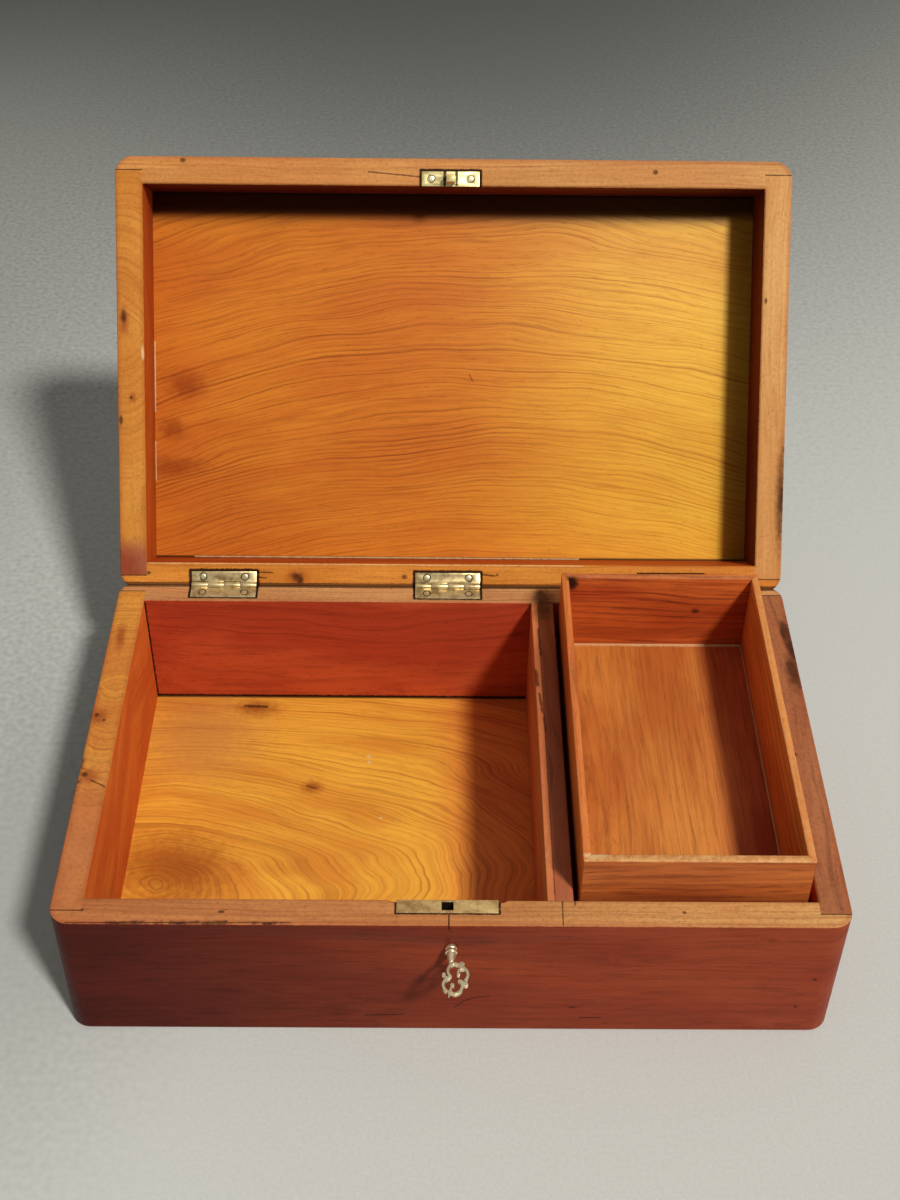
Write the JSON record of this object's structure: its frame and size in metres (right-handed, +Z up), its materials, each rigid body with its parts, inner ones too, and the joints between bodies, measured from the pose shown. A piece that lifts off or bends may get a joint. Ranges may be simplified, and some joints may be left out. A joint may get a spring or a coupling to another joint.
{
  "type": "letter writing box with lift-out tray",
  "caption": "Rectangular wooden box with an open hinged lid, a plain well for papers, a raised lift-out tray and a brass lock with an ornate key.",
  "frame": {"origin": "middle of the underside of the base, on the surface it stands on", "axes": "+X to the right seen from the front, +Y to the back where the lid is hinged, +Z up; at rest the lid stands open"},
  "size_m": [0.3, 0.3511, 0.2221],
  "materials": {
    "case_wood": "satin, worn",
    "panel_wood": "satin",
    "tray_wood": "satin",
    "brass": "aged",
    "steel": "dull"
  },
  "bodies": {
    "base": {"base_back_board": "case_wood", "base_bottom_panel": "panel_wood", "base_front_board": "case_wood", "base_hinge_leaf_centre": "brass", "base_hinge_leaf_left": "brass", "base_hinge_leaf_right": "brass", "base_hinge_nails": "brass", "base_left_board": "case_wood", "base_right_board": "case_wood", "divider_batten": "case_wood", "divider_board": "case_wood", "hinge_pin_centre": "steel", "hinge_pin_left": "steel", "hinge_pin_right": "steel", "lock_case": "brass", "lock_drill_pin": "steel", "lock_face_plate": "brass", "lock_screws": "steel", "tray_bearer_left": "case_wood", "tray_bearer_right": "case_wood"},
    "lid": {"lid_back_board": "case_wood", "lid_front_board": "case_wood", "lid_hinge_leaf_centre": "brass", "lid_hinge_leaf_left": "brass", "lid_hinge_leaf_right": "brass", "lid_hinge_nails": "brass", "lid_left_board": "case_wood", "lid_right_board": "case_wood", "lid_top_panel": "panel_wood", "link_plate": "brass", "link_plate_screws": "brass"},
    "tray": {"tray_back_board": "tray_wood", "tray_bottom_panel": "tray_wood", "tray_front_board": "tray_wood", "tray_left_board": "tray_wood", "tray_right_board": "tray_wood"},
    "bolt": {"lock_bolt": "steel"},
    "key": {"key": "brass"}
  },
  "joints": [
    {"name": "lid_hinge", "type": "hinge", "parent": "base", "child": "lid", "pos_m": [0, 0.0942, 0.0674], "axis": [-1, 0, 0], "range_deg": [-125.4, 0]},
    {"name": "tray_lift", "type": "slide", "parent": "base", "child": "tray", "axis": [0, 0, 1], "range_m": [0, 0.006]},
    {"name": "key_turn", "type": "hinge", "parent": "base", "child": "key", "pos_m": [0, -0.096, 0.054], "axis": [0, -1, 0], "range_deg": [-180, 0]},
    {"name": "bolt_slide", "type": "slide", "parent": "base", "child": "bolt", "axis": [-1, 0, 0], "range_m": [-0.006, 0]}
  ],
  "couplings": [
    {"joint": "key_turn", "follows": "bolt_slide", "rad_per_m": 523.59}
  ]
}
